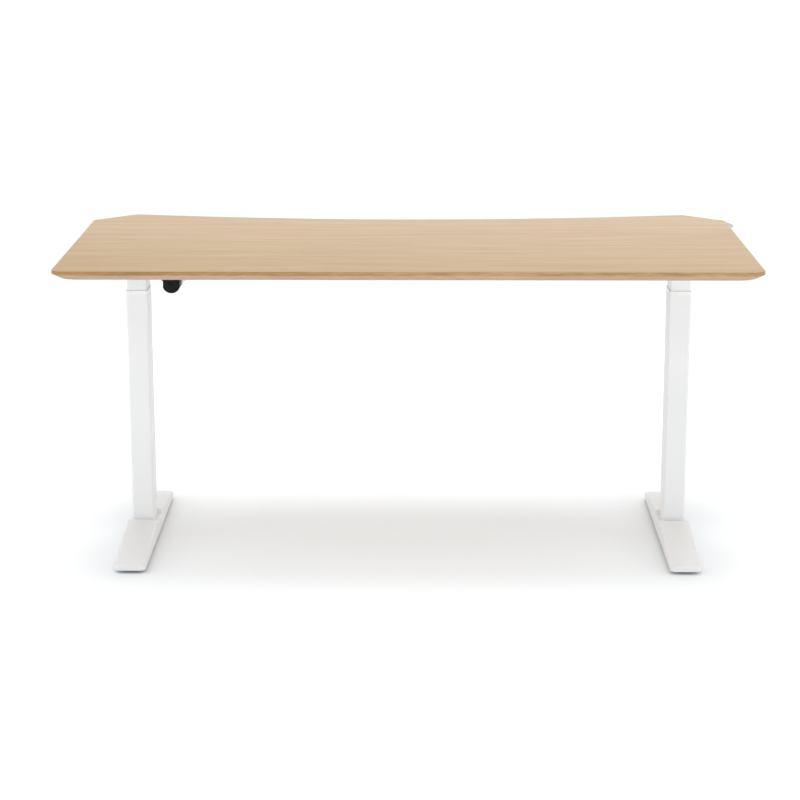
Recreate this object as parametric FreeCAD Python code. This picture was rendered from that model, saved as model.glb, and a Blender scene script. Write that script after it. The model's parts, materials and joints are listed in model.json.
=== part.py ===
import FreeCAD, Part

import math
import os

# Height adjustable standing desk. Millimetres, +Z up, +X along the worktop, +Y towards the sitter.
# Everything is drawn about the middle of the frame, then moved so that the origin lies on the
# floor under the middle of the whole desk's plan box, handset included.

# Worktop
TOP_LENGTH = 1600.0
TOP_DEPTH = 800.0
TOP_THICKNESS = 20.5
TOP_SURFACE_Z = 718.5
TOP_BEVEL = 12.0
TOP_EDGE_ROUND = 2.0
BACK_CORNER_RADIUS = 30.0
BACK_CORNER_UNDER = 48.0
CLIP_CORNER_RADIUS = 20.0
CLIP_X = 100.0
CLIP_Y = 92.0
FRONT_HOLLOW = 77.0

# Columns, at their lowest setting; the upper body rises 450 mm from here
COLUMN_X = 645.0
COLUMN_Y = -58.0
OUTER_WIDTH = 52.0
OUTER_DEPTH = 76.0
TUBE_WALL = 1.5
OUTER_CORNER = 5.0
OUTER_TOP_Z = 606.0
INNER_WIDTH = 47.3
INNER_DEPTH = 71.3
INNER_CORNER = 3.5
INNER_BOTTOM_Z = 62.0
INNER_TOP_Z = 646.0
COLLAR_HEIGHT = 10.0
COLLAR_SKIRT = 26.0
SLIDE_GAP = 0.3
BASE_PLATE = 8.0

# Feet
FOOT_WIDTH = 72.0
FOOT_HALF = 311.0
FOOT_UNDER_Z = 8.0
FOOT_END_Z = 20.0
FOOT_CREST_Z = 51.0
FOOT_CREST_Y = 46.0
SADDLE_Z = 41.0
SADDLE_Y = 40.0
FOOT_SHEET = 3.0
FOOT_CORNER = 14.0
FOOT_EDGE_ROUND = 3.5
GLIDE_Y = 262.0
GLIDE_RADIUS = 15.0
GLIDE_HEIGHT = 7.0
GLIDE_STUD = 4.0

# Lifting drive
SPINDLE_RADIUS = 7.0
JOURNAL_RADIUS = 5.0
SPINDLE_BOTTOM_Z = 105.0
NUT_BOTTOM_Z = 560.0
NUT_HEIGHT = 30.0
NUT_TUBE_RADIUS = 12.0
RUNNING_GAP = 0.08
SHAFT_Z = 674.0
SHAFT_FLATS = 8.0
CONE_BIG = 14.0
CONE_SMALL = 6.0
CONE_GAP = 0.2
HUB_RADIUS = 7.0
BEARING_RADIUS = 11.0
THRUST_RADIUS = 13.0

# Gearbox on each column head
BOX_HALF_X = 30.0
BOX_HALF_Y = 42.0
BOX_WALL = 6.0
BOX_TOP_Z = 690.5
COVER = 3.0

# Frame under the worktop
ARM_WIDTH = 70.0
ARM_SHEET = 2.5
ARM_HALF = 240.0
ARM_TAPER_START = 110.0
ARM_DEEP = 30.0
ARM_SHALLOW = 12.0
PAD = 2.0
BEAM_Y = 26.0
BEAM_WIDTH = 60.0
BEAM_HEIGHT = 28.0
BEAM_SHEET = 2.0

# Motor, its axis along Y
MOTOR_X = -548.5
MOTOR_Z = 655.0
CAN_RADIUS = 22.8
CAN_FRONT_Y = -172.0
CAN_BACK_Y = -94.0
CAN_WALL = 1.5
CAP_FRONT_Y = -222.0
CAP_RADIUS = 20.9
CAP_HALF = 19.3
CAP_FACE = ((17.0, 14.5, 4.0), (6.8, 5.6, 2.0))
CAP_WALL = 2.0
CAP_TOP_Z = 672.0
WORM_RADIUS = 7.9
WHEEL_RADIUS = 10.9
ROTOR_SHAFT = 4.0

# Control box
CONTROL_X = 0.0
CONTROL_Y = 112.0
CONTROL_LENGTH = 260.0
CONTROL_DEPTH = 95.0
CONTROL_HEIGHT = 34.0
CONTROL_WALL = 2.0
LID = 4.0

# Handset, drawn with x square to the clipped edge, y along it and z up
HANDSET_HALF = 62.0
HANDSET_SHIFT = -2.0
HANDSET_WALL = 2.0
FACE_TOP = (2.5, 716.0)
FACE_LOW = (41.0, 703.3)
HANDSET_SPLIT_Z = 695.0
BUTTON_COUNT = 6
BUTTON_PITCH = 18.0
BUTTON_SIZE = 11.0
BUTTON_ALONG = 26.0
BUTTON_PROUD = 1.2
BUTTON_GAP = 0.3

UNDERSIDE_Z = TOP_SURFACE_Z - TOP_THICKNESS
BACK_Y = -TOP_DEPTH / 2
FRONT_Y = TOP_DEPTH / 2
SIDE_X = TOP_LENGTH / 2
SIDES = {"left": -1, "right": 1}
V = FreeCAD.Vector
X_AXIS = V(1, 0, 0)
Y_AXIS = V(0, 1, 0)
Z_AXIS = V(0, 0, 1)


def block(x0, x1, y0, y1, z0, z1):
    return Part.makeBox(x1 - x0, y1 - y0, z1 - z0, V(x0, y0, z0))


def rod(radius, start, axis, length):
    return Part.makeCylinder(radius, length, start, axis)


def ring(outer, inner, start, axis, length):
    return rod(outer, start, axis, length).cut(rod(inner, start, axis, length))


def rounded_block(cx, cy, width, depth, corner, z0, z1):
    solid = block(cx - width / 2, cx + width / 2, cy - depth / 2, cy + depth / 2, z0, z1)
    upright = [e for e in solid.Edges if abs(e.Vertexes[0].Z - e.Vertexes[1].Z) > 1e-6]
    return solid.makeFillet(corner, upright)


def rectangular_tube(cx, cy, width, depth, corner, wall, z0, z1):
    outside = rounded_block(cx, cy, width, depth, corner, z0, z1)
    inner_corner = max(corner - wall, 0.5)
    inside = rounded_block(cx, cy, width - 2 * wall, depth - 2 * wall, inner_corner, z0, z1)
    return outside.cut(inside)


def prism(points, direction):
    wire = Part.makePolygon(points + [points[0]])
    return Part.Face(wire).extrude(direction)


def profile_along_x(profile, x0, x1):
    return prism([V(x0, y, z) for y, z in profile], V(x1 - x0, 0, 0))


def hexagon_rod(flats, start, axis, length):
    corner = flats / math.sqrt(3)
    points = []
    for step in range(6):
        turn = math.radians(60 * step + 30)
        a, b = corner * math.sin(turn), corner * math.cos(turn)
        offset = V(0, a, b) if axis == X_AXIS else V(a, b, 0)
        points.append(start + offset)
    return prism(points, axis * length)


def screw(x, y, z_head, z_tip, shank, head_radius, head_height):
    # An upright screw whose head hangs below z_head and whose shank rises to z_tip.
    shank_rod = rod(shank, V(x, y, z_head), Z_AXIS, z_tip - z_head)
    head = rod(head_radius, V(x, y, z_head - head_height), Z_AXIS, head_height)
    socket = hexagon_rod(head_radius, V(x, y, z_head - head_height), Z_AXIS, head_height / 2)
    return shank_rod.fuse(head.cut(socket)).removeSplitter()


def arm_screw_places(side):
    x = side * COLUMN_X
    return [(x, COLUMN_Y + y) for y in (-212.0, -128.0, 128.0, 212.0)]


def control_screw_places():
    reach = CONTROL_LENGTH / 2 + 7.0
    return [(CONTROL_X + sx * reach, CONTROL_Y + sy * 30.0) for sx in (-1, 1) for sy in (-1, 1)]


def bracket_screw_places():
    return [(MOTOR_X + sx * 38.0, COLUMN_Y + sy * 14.0) for sx in (-1, 1) for sy in (-1, 1)]


def clip_turn():
    return math.degrees(math.atan2(CLIP_X, CLIP_Y))


def place_handset(shape):
    # From the handset's own frame to its place at the middle of the clipped edge.
    placed = shape.copy()
    placed.rotate(V(0, 0, 0), Z_AXIS, clip_turn())
    placed.translate(V(SIDE_X - CLIP_X / 2, FRONT_Y - CLIP_Y / 2, 0))
    return placed


def handset_screw_places():
    turn = math.radians(clip_turn())
    places = []
    for y in (HANDSET_SHIFT - 30.0, HANDSET_SHIFT + 30.0):
        x = -34.0
        places.append((SIDE_X - CLIP_X / 2 + x * math.cos(turn) - y * math.sin(turn),
                       FRONT_Y - CLIP_Y / 2 + x * math.sin(turn) + y * math.cos(turn)))
    return places


# ---------------------------------------------------------------- worktop

def desktop():
    z = UNDERSIDE_Z
    back_left, back_right = V(-SIDE_X, BACK_Y, z), V(SIDE_X, BACK_Y, z)
    clip_right, peak_right = V(SIDE_X, FRONT_Y - CLIP_Y, z), V(SIDE_X - CLIP_X, FRONT_Y, z)
    clip_left, peak_left = V(-SIDE_X, FRONT_Y - CLIP_Y, z), V(CLIP_X - SIDE_X, FRONT_Y, z)
    hollow = Part.Arc(peak_right, V(0, FRONT_Y - FRONT_HOLLOW, z), peak_left)
    edges = [Part.makeLine(back_left, back_right), Part.makeLine(back_right, clip_right),
             Part.makeLine(clip_right, peak_right), hollow.toShape(),
             Part.makeLine(peak_left, clip_left), Part.makeLine(clip_left, back_left)]
    slab = Part.Face(Part.Wire(edges)).extrude(V(0, 0, TOP_THICKNESS))
    back = [e for e in slab.Edges if is_upright(e) and e.BoundBox.YMax < 0]
    slab = slab.makeFillet(BACK_CORNER_RADIUS, back)
    front = [e for e in slab.Edges if is_upright(e) and e.BoundBox.YMin > 0]
    slab = slab.makeFillet(CLIP_CORNER_RADIUS, front)
    under = [e for e in slab.Edges if e.BoundBox.ZMax < UNDERSIDE_Z + 0.01]
    slab = slab.makeChamfer(TOP_BEVEL, under)
    above = [e for e in slab.Edges if e.BoundBox.ZMin > TOP_SURFACE_Z - 0.01]
    slab = slab.makeFillet(TOP_EDGE_ROUND, above)
    for side in (-1, 1):
        slab = slab.cut(under_corner_waste(side))
    for x, y in arm_screw_places(-1) + arm_screw_places(1):
        slab = slab.cut(rod(2.6, V(x, y, UNDERSIDE_Z), Z_AXIS, 14.0))
    for x, y in control_screw_places() + bracket_screw_places() + handset_screw_places():
        slab = slab.cut(rod(1.85, V(x, y, UNDERSIDE_Z), Z_AXIS, 12.0))
    return slab


def corner_wire(side, inset, radius, z):
    # One back corner in plan, rounded by radius, closed 100 mm in from the edges.
    x, y, reach = SIDE_X - inset, BACK_Y + inset, 100.0
    turn = radius * (1 - math.sqrt(0.5))
    points = [V(x - radius, y, z), V(x - turn, y + turn, z), V(x, y + radius, z),
              V(x, BACK_Y + reach, z), V(SIDE_X - reach, BACK_Y + reach, z),
              V(SIDE_X - reach, y, z)]
    points = [V(side * p.x, p.y, p.z) for p in points]
    curve = Part.Arc(*points[:3]).toShape()
    closed = points[2:] + points[:1]
    lines = [Part.makeLine(a, b) for a, b in zip(closed, closed[1:])]
    return Part.Wire([curve] + lines)


def under_corner_waste(side):
    # What the bevel loses at a back corner, where its lower outline turns wider than its upper.
    lower = corner_wire(side, TOP_BEVEL, BACK_CORNER_UNDER, UNDERSIDE_Z)
    upper = corner_wire(side, 0.0, BACK_CORNER_RADIUS, UNDERSIDE_Z + TOP_BEVEL)
    kept = Part.makeLoft([lower, upper], True, True)
    near, far = sorted((side * (SIDE_X - 99.0), side * (SIDE_X + 1.0)))
    room = block(near, far, BACK_Y - 1.0, BACK_Y + 99.0, UNDERSIDE_Z, UNDERSIDE_Z + TOP_BEVEL)
    return room.cut(kept)


def is_upright(edge):
    first, last = edge.Vertexes[0], edge.Vertexes[-1]
    same_plan = abs(first.X - last.X) < 1e-6 and abs(first.Y - last.Y) < 1e-6
    return same_plan and abs(first.Z - last.Z) > 0.5


# ---------------------------------------------------------------- feet

def foot_profile(inset):
    # Side view of the foot, from the column's middle: thin at both ends, a saddle in the middle.
    end, top = FOOT_HALF - inset, inset
    low = FOOT_UNDER_Z
    half = [(end, low), (end, FOOT_END_Z - top), (FOOT_CREST_Y, FOOT_CREST_Z - top),
            (SADDLE_Y, SADDLE_Z - top)]
    mirrored = [(-y, z) for y, z in reversed(half)]
    return [(COLUMN_Y + y, z) for y, z in half + mirrored]


def foot(side):
    x = side * COLUMN_X
    half = FOOT_WIDTH / 2
    solid = profile_along_x(foot_profile(0), x - half, x + half)
    corners = [e for e in solid.Edges if is_upright(e)]
    solid = solid.makeFillet(FOOT_CORNER, corners)
    rim = [e for e in solid.Edges if on_foot_rim(e, x)]
    solid = solid.makeFillet(FOOT_EDGE_ROUND, rim)
    inside = profile_along_x(foot_profile(FOOT_SHEET), x - half + FOOT_SHEET, x + half - FOOT_SHEET)
    inside = inside.makeFillet(FOOT_CORNER - FOOT_SHEET, [e for e in inside.Edges if is_upright(e)])
    solid = solid.cut(inside)
    for sx, sy in foot_screw_offsets():
        solid = solid.cut(rod(4.3, V(x + sx, COLUMN_Y + sy, SADDLE_Z - 5.0), Z_AXIS, 6.0))
    return solid


def on_foot_rim(edge, x):
    # Edges round the top of the foot, apart from those that cross it from side to side.
    box = edge.BoundBox
    crosses = box.XLength > FOOT_WIDTH - 2 * FOOT_CORNER - 1.0 and box.YLength < 0.01
    across_end = abs(abs(box.YMin - COLUMN_Y) - FOOT_HALF) < 0.01
    low = box.ZMax < FOOT_UNDER_Z + 1.0
    return not low and not is_upright(edge) and (across_end or not crosses)


def foot_screw_offsets():
    return [(sx * 14.0, sy * 26.0) for sx in (-1, 1) for sy in (-1, 1)]


def foot_plate(side):
    x = side * COLUMN_X
    width, length = FOOT_WIDTH - 2 * FOOT_SHEET - 0.2, 2 * (FOOT_HALF - FOOT_SHEET) - 0.2
    top = FOOT_UNDER_Z + FOOT_SHEET
    plate = rounded_block(x, COLUMN_Y, width, length, FOOT_CORNER - FOOT_SHEET, FOOT_UNDER_Z, top)
    for sx, sy in foot_screw_offsets():
        plate = plate.cut(rod(7.5, V(x + sx, COLUMN_Y + sy, 0), Z_AXIS, 20.0))
    for sy in (-1, 1):
        plate = plate.cut(rod(GLIDE_STUD + 0.1, V(x, COLUMN_Y + sy * GLIDE_Y, 0), Z_AXIS, 20.0))
    return plate


def glide_places():
    return [(side * COLUMN_X, COLUMN_Y + sy * GLIDE_Y) for side in (-1, 1) for sy in (-1, 1)]


def levelling_glide(x, y):
    pad = rod(GLIDE_RADIUS, V(x, y, 0), Z_AXIS, GLIDE_HEIGHT)
    rim = [e for e in pad.Edges if e.BoundBox.ZMin > GLIDE_HEIGHT - 0.01]
    pad = pad.makeFillet(2.0, rim)
    stud = rod(GLIDE_STUD, V(x, y, GLIDE_HEIGHT - 1.0), Z_AXIS, 12.0)
    return pad.fuse(stud).removeSplitter()


def glide_nut(x, y):
    z = FOOT_UNDER_Z + FOOT_SHEET
    nut = hexagon_rod(13.0, V(x, y, z), Z_AXIS, 5.0)
    return nut.cut(rod(GLIDE_STUD + 0.1, V(x, y, z), Z_AXIS, 5.0))


# ---------------------------------------------------------------- columns

def outer_tube(side):
    x = side * COLUMN_X
    return rectangular_tube(x, COLUMN_Y, OUTER_WIDTH, OUTER_DEPTH, OUTER_CORNER, TUBE_WALL,
                            SADDLE_Z, OUTER_TOP_Z)


def inner_tube(side):
    x = side * COLUMN_X
    return rectangular_tube(x, COLUMN_Y, INNER_WIDTH, INNER_DEPTH, INNER_CORNER, TUBE_WALL,
                            INNER_BOTTOM_Z, INNER_TOP_Z)


def column_collar(side):
    x = side * COLUMN_X
    bore_w, bore_d = INNER_WIDTH + 2 * SLIDE_GAP, INNER_DEPTH + 2 * SLIDE_GAP
    head = rounded_block(x, COLUMN_Y, OUTER_WIDTH, OUTER_DEPTH, OUTER_CORNER, OUTER_TOP_Z,
                         OUTER_TOP_Z + COLLAR_HEIGHT)
    upper_rim = [e for e in head.Edges if e.BoundBox.ZMin > OUTER_TOP_Z + COLLAR_HEIGHT - 0.01]
    head = head.makeChamfer(1.2, upper_rim)
    skirt_w, skirt_d = OUTER_WIDTH - 2 * TUBE_WALL - 0.1, OUTER_DEPTH - 2 * TUBE_WALL - 0.1
    skirt = rounded_block(x, COLUMN_Y, skirt_w, skirt_d, OUTER_CORNER - TUBE_WALL,
                          OUTER_TOP_Z - COLLAR_SKIRT, OUTER_TOP_Z)
    bore = rounded_block(x, COLUMN_Y, bore_w, bore_d, INNER_CORNER + SLIDE_GAP,
                         OUTER_TOP_Z - COLLAR_SKIRT - 1.0, OUTER_TOP_Z + COLLAR_HEIGHT + 1.0)
    return head.fuse(skirt).removeSplitter().cut(bore)


def inner_glide(side):
    # A slippery sleeve round the inner tube's lower end.
    x = side * COLUMN_X
    width = OUTER_WIDTH - 2 * TUBE_WALL - 2 * SLIDE_GAP
    depth = OUTER_DEPTH - 2 * TUBE_WALL - 2 * SLIDE_GAP
    outside = rounded_block(x, COLUMN_Y, width, depth, INNER_CORNER + 0.5,
                            INNER_BOTTOM_Z - 2.0, INNER_BOTTOM_Z + 30.0)
    sleeve = rounded_block(x, COLUMN_Y, INNER_WIDTH + 0.1, INNER_DEPTH + 0.1, INNER_CORNER,
                           INNER_BOTTOM_Z, INNER_BOTTOM_Z + 31.0)
    hole = rounded_block(x, COLUMN_Y, INNER_WIDTH - 2 * TUBE_WALL, INNER_DEPTH - 2 * TUBE_WALL,
                         2.0, INNER_BOTTOM_Z - 3.0, INNER_BOTTOM_Z + 1.0)
    return outside.cut(sleeve).cut(hole)


def column_base_plate(side):
    x = side * COLUMN_X
    width, depth = OUTER_WIDTH - 2 * TUBE_WALL - 0.2, OUTER_DEPTH - 2 * TUBE_WALL - 0.2
    plate = rounded_block(x, COLUMN_Y, width, depth, OUTER_CORNER - TUBE_WALL,
                          SADDLE_Z, SADDLE_Z + BASE_PLATE)
    for sx, sy in foot_screw_offsets():
        plate = plate.cut(rod(4.1, V(x + sx, COLUMN_Y + sy, SADDLE_Z), Z_AXIS, BASE_PLATE))
    return plate


def nut_tube(side):
    start = V(side * COLUMN_X, COLUMN_Y, SADDLE_Z + BASE_PLATE)
    return ring(NUT_TUBE_RADIUS, NUT_TUBE_RADIUS - 3.0, start, Z_AXIS, NUT_BOTTOM_Z - start.z)


def spindle_nut(side):
    start = V(side * COLUMN_X, COLUMN_Y, NUT_BOTTOM_Z)
    return ring(NUT_TUBE_RADIUS + 2.0, SPINDLE_RADIUS + RUNNING_GAP, start, Z_AXIS, NUT_HEIGHT)


# ---------------------------------------------------------------- drive

def spindle(side):
    x = side * COLUMN_X
    shoulder = INNER_TOP_Z - 10.3
    thread = rod(SPINDLE_RADIUS, V(x, COLUMN_Y, SPINDLE_BOTTOM_Z), Z_AXIS, shoulder - SPINDLE_BOTTOM_Z)
    journal_top = SHAFT_Z - CONE_SMALL - CONE_GAP
    journal = rod(JOURNAL_RADIUS, V(x, COLUMN_Y, shoulder), Z_AXIS, journal_top - shoulder)
    return thread.fuse(journal).removeSplitter()


def spindle_gear(side):
    # Pitch cone of the bevel gear with its apex on the cross shaft's axis, and its hub below.
    x = side * COLUMN_X
    big_z = SHAFT_Z - CONE_BIG - CONE_GAP
    cone = Part.makeCone(CONE_BIG, CONE_SMALL, CONE_BIG - CONE_SMALL, V(x, COLUMN_Y, big_z), Z_AXIS)
    back = rod(CONE_BIG, V(x, COLUMN_Y, big_z - 3.0), Z_AXIS, 3.0)
    hub_z = INNER_TOP_Z + 0.3
    hub = rod(HUB_RADIUS + 1.0, V(x, COLUMN_Y, hub_z), Z_AXIS, big_z - 3.0 - hub_z)
    gear = cone.fuse(back).fuse(hub).removeSplitter()
    return gear.cut(rod(JOURNAL_RADIUS, V(x, COLUMN_Y, hub_z - 1.0), Z_AXIS, 60.0))


def shaft_bore():
    return hexagon_rod(SHAFT_FLATS, V(-SIDE_X, COLUMN_Y, SHAFT_Z), X_AXIS, TOP_LENGTH)


def shaft_pinion(side):
    # The mating bevel gear, on the +X side of its spindle, with a hub that turns in a bearing.
    x = side * COLUMN_X
    big_x = x + CONE_BIG + CONE_GAP
    small_x = x + CONE_SMALL + CONE_GAP
    cone = Part.makeCone(CONE_SMALL, CONE_BIG, big_x - small_x, V(small_x, COLUMN_Y, SHAFT_Z), X_AXIS)
    back = rod(CONE_BIG, V(big_x, COLUMN_Y, SHAFT_Z), X_AXIS, 3.0)
    hub = rod(HUB_RADIUS, V(big_x + 3.0, COLUMN_Y, SHAFT_Z), X_AXIS, x + BOX_HALF_X - big_x - 3.0)
    return cone.fuse(back).fuse(hub).removeSplitter().cut(shaft_bore())


def cross_shaft():
    x0, x1 = -COLUMN_X + 4.0, COLUMN_X + BOX_HALF_X
    return hexagon_rod(SHAFT_FLATS, V(x0, COLUMN_Y, SHAFT_Z), X_AXIS, x1 - x0)


def worm_wheel():
    start = V(MOTOR_X - 8.0, COLUMN_Y, SHAFT_Z)
    wheel = rod(WHEEL_RADIUS, start, X_AXIS, 16.0)
    hub = rod(HUB_RADIUS, V(MOTOR_X - 18.0, COLUMN_Y, SHAFT_Z), X_AXIS, 36.0)
    return wheel.fuse(hub).removeSplitter().cut(shaft_bore())


def shaft_bearings():
    rings = []
    for side in (-1, 1):
        start = V(side * COLUMN_X + BOX_HALF_X - BOX_WALL, COLUMN_Y, SHAFT_Z)
        rings.append(ring(BEARING_RADIUS, HUB_RADIUS + RUNNING_GAP, start, X_AXIS, BOX_WALL))
    for x in (MOTOR_X - 18.0, MOTOR_X + 12.0):
        start = V(x, COLUMN_Y, SHAFT_Z)
        rings.append(ring(BEARING_RADIUS, HUB_RADIUS + RUNNING_GAP, start, X_AXIS, BOX_WALL))
    return rings


def spindle_bearing(side):
    start = V(side * COLUMN_X, COLUMN_Y, INNER_TOP_Z - 10.0)
    return ring(THRUST_RADIUS, JOURNAL_RADIUS + RUNNING_GAP, start, Z_AXIS, 10.0)


def gearbox_bolt_places(side):
    x = side * COLUMN_X
    return [(x + sx * 19.0, COLUMN_Y + sy * 31.0) for sx in (-1, 1) for sy in (-1, 1)]


def gearbox_housing(side):
    x = side * COLUMN_X
    body = rounded_block(x, COLUMN_Y, 2 * BOX_HALF_X, 2 * BOX_HALF_Y, 4.0, INNER_TOP_Z, BOX_TOP_Z)
    spigot_w, spigot_d = INNER_WIDTH - 2 * TUBE_WALL - 0.4, INNER_DEPTH - 2 * TUBE_WALL - 0.4
    spigot = rounded_block(x, COLUMN_Y, spigot_w, spigot_d, 2.0, INNER_TOP_Z - 12.0, INNER_TOP_Z)
    body = body.fuse(spigot).removeSplitter()
    inside_x = BOX_HALF_X - BOX_WALL
    body = body.cut(block(x - inside_x, x + inside_x, COLUMN_Y - 20.0, COLUMN_Y + 20.0,
                          INNER_TOP_Z + BOX_WALL, BOX_TOP_Z + 1.0))
    body = body.cut(rod(THRUST_RADIUS, V(x, COLUMN_Y, INNER_TOP_Z - 13.0), Z_AXIS, 13.0))
    body = body.cut(rod(HUB_RADIUS + 1.5, V(x, COLUMN_Y, INNER_TOP_Z - 1.0), Z_AXIS, 10.0))
    wall_start = V(x + inside_x - 1.0, COLUMN_Y, SHAFT_Z)
    body = body.cut(rod(BEARING_RADIUS, wall_start, X_AXIS, BOX_WALL + 2.0))
    if side > 0:
        entry = V(x - BOX_HALF_X - 1.0, COLUMN_Y, SHAFT_Z)
        body = body.cut(rod(6.0, entry, X_AXIS, BOX_WALL + 2.0))
    for bx, by in gearbox_bolt_places(side):
        body = body.cut(rod(2.6, V(bx, by, BOX_TOP_Z - 15.0), Z_AXIS, 16.0))
    return body


def gearbox_cover(side):
    x = side * COLUMN_X
    cover = rounded_block(x, COLUMN_Y, 2 * BOX_HALF_X, 2 * BOX_HALF_Y, 4.0, BOX_TOP_Z, BOX_TOP_Z + COVER)
    for bx, by in gearbox_bolt_places(side):
        cover = cover.cut(rod(2.6, V(bx, by, BOX_TOP_Z), Z_AXIS, COVER))
    return cover


def gearbox_bolt(x, y):
    # Put in from above, through the arm, so that its head lies under the worktop.
    z = UNDERSIDE_Z - PAD
    shank = rod(2.5, V(x, y, BOX_TOP_Z - 13.0), Z_AXIS, z - BOX_TOP_Z + 13.0)
    return shank.fuse(rod(4.5, V(x, y, z), Z_AXIS, 1.6)).removeSplitter()


# ---------------------------------------------------------------- frame under the worktop

def side_arm(side):
    # A channel open downwards, deep over the gearbox and shallow at both ends.
    x = side * COLUMN_X
    top = UNDERSIDE_Z - PAD
    half = [(ARM_HALF, top), (ARM_HALF, top - ARM_SHALLOW), (ARM_TAPER_START, top - ARM_DEEP)]
    profile = [(COLUMN_Y - y, z) for y, z in half]
    profile += [(COLUMN_Y + y, z) for y, z in reversed(half)]
    arm = profile_along_x(profile, x - ARM_WIDTH / 2, x + ARM_WIDTH / 2)
    ridge = [e for e in arm.Edges if e.BoundBox.ZMin > top - 0.01 and e.BoundBox.XLength < 0.01]
    arm = arm.makeFillet(3.0, ridge)
    inside = ARM_WIDTH / 2 - ARM_SHEET
    arm = arm.cut(block(x - inside, x + inside, COLUMN_Y - ARM_HALF - 1, COLUMN_Y + ARM_HALF + 1,
                        top - ARM_DEEP - 1, top - ARM_SHEET))
    for sx, sy in arm_screw_places(side):
        arm = arm.cut(rod(3.0, V(sx, sy, top - ARM_SHEET - 1), Z_AXIS, ARM_SHEET + 2))
    for bx, by in gearbox_bolt_places(side):
        arm = arm.cut(rod(2.6, V(bx, by, top - ARM_SHEET - 1), Z_AXIS, ARM_SHEET + 2))
    inner_x = x - side * ARM_WIDTH / 2
    notch_x0, notch_x1 = min(inner_x, x - side * inside) - 0.5, max(inner_x, x - side * inside) + 0.5
    notch = rod(8.0, V(notch_x0, COLUMN_Y, SHAFT_Z), X_AXIS, notch_x1 - notch_x0)
    notch = notch.fuse(block(notch_x0, notch_x1, COLUMN_Y - 8.0, COLUMN_Y + 8.0,
                             top - ARM_DEEP - 1, SHAFT_Z))
    arm = arm.cut(notch)
    for y, z in beam_bolt_places():
        arm = arm.cut(rod(3.1, V(notch_x0, y, z), X_AXIS, notch_x1 - notch_x0))
    return arm


def beam_bolt_places():
    middle = UNDERSIDE_Z - PAD - ARM_SHEET - BEAM_HEIGHT / 2
    return [(BEAM_Y + sy * 21.0, middle + sz * 6.5) for sy in (-1, 1) for sz in (-1, 1)]


def crossbeam():
    # A flat box tube with a welded plate at each end, bolted between the arms.
    reach = COLUMN_X - ARM_WIDTH / 2
    top = UNDERSIDE_Z - PAD - ARM_SHEET
    y0, y1 = BEAM_Y - BEAM_WIDTH / 2, BEAM_Y + BEAM_WIDTH / 2
    outside = block(-reach, reach, y0, y1, top - BEAM_HEIGHT, top)
    long_edges = [e for e in outside.Edges if e.BoundBox.XLength > reach]
    outside = outside.makeFillet(3.0, long_edges)
    inside = block(-reach + 3.0, reach - 3.0, y0 + BEAM_SHEET, y1 - BEAM_SHEET,
                   top - BEAM_HEIGHT + BEAM_SHEET, top - BEAM_SHEET)
    beam = outside.cut(inside)
    for y, z in beam_bolt_places():
        beam = beam.cut(rod(3.1, V(-reach - 1, y, z), X_AXIS, 5.0))
        beam = beam.cut(rod(3.1, V(reach - 4, y, z), X_AXIS, 5.0))
    slot_w = 9.0
    for step in range(-3, 4):
        x = step * 160.0
        beam = beam.cut(rounded_block(x, BEAM_Y, 34.0, slot_w, slot_w / 2 - 0.1,
                                      top - BEAM_HEIGHT - 1, top - BEAM_HEIGHT + BEAM_SHEET + 1))
    return beam


def beam_bolt(side, y, z):
    # The head is inside the arm's channel and the shank ends inside the beam.
    face = side * (COLUMN_X - ARM_WIDTH / 2 + ARM_SHEET)
    shank = rod(3.0, V(face, y, z), V(-side, 0, 0), 12.0)
    head = rod(5.0, V(face, y, z), V(side, 0, 0), 2.2)
    return shank.fuse(head).removeSplitter()


def desktop_pad(x, y):
    return ring(12.0, 3.0, V(x, y, UNDERSIDE_Z - PAD), Z_AXIS, PAD)


# ---------------------------------------------------------------- motor

def motor_start(y):
    return V(MOTOR_X, y, MOTOR_Z)


def motor_can():
    length = CAN_BACK_Y - CAN_FRONT_Y
    can = rod(CAN_RADIUS, motor_start(CAN_FRONT_Y), Y_AXIS, length)
    front = [e for e in can.Edges if e.BoundBox.YMax < CAN_FRONT_Y + 0.01]
    can = can.makeFillet(4.0, front)
    can = can.cut(rod(CAN_RADIUS - CAN_WALL, motor_start(CAN_FRONT_Y + 4.0), Y_AXIS, length))
    return can.cut(rod(8.0, motor_start(CAN_FRONT_Y - 1.0), Y_AXIS, 10.0))


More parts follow.
